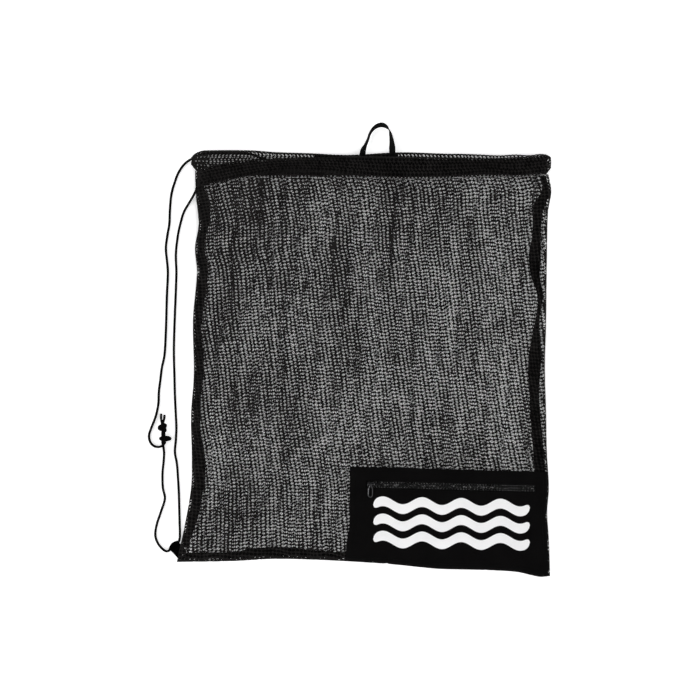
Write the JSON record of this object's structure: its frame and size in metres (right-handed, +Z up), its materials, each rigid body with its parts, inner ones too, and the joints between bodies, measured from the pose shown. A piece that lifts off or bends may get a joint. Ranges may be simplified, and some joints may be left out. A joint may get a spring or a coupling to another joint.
{
  "type": "drawstring mesh bag",
  "caption": "Flat drawstring net bag lying on its back, with a corded mouth casing, a hang loop, a corner cord tab and a zipped cloth pocket.",
  "frame": {"origin": "on the surface the bag lies on, under the middle of its box without the cords", "axes": "+Z up out of the surface, +Y towards the mouth, +X to the right of a viewer looking down with the mouth away from them"},
  "size_m": [0.7049, 0.7921, 0.0265],
  "materials": {
    "net": "black polyester warp-knit net",
    "tape": "black woven tape",
    "cord": "black braided polyester cord",
    "pocket_cloth": "black plain-weave cloth with a white print",
    "zip_plastic": "black coil zip",
    "zip_metal": "black painted zip slider and pull"
  },
  "bodies": {
    "bag": {"back_panel": "net", "front_panel": "net", "back_casing": "net", "front_casing": "net", "back_band": "tape", "front_band": "tape", "binding_left": "tape", "binding_right": "tape", "binding_bottom": "tape", "hang_loop": "tape", "pocket_panel": "pocket_cloth", "zip_tape": "tape", "zip_chain": "zip_plastic", "zip_slider": "zip_metal", "corner_tab": "tape", "casing_cord": "cord", "cord_outer": "cord", "cord_inner": "cord", "cord_lower": "cord", "knot_upper": "cord", "knot_lower": "cord"},
    "pull": {"zip_pull": "zip_metal"}
  },
  "joints": [
    {"name": "pull_swing", "type": "hinge", "parent": "bag", "child": "pull", "pos_m": [0.0175, -0.23559, 0.02087], "axis": [-0.9996, 0.0268, 0], "range_deg": [0, 155]}
  ]
}
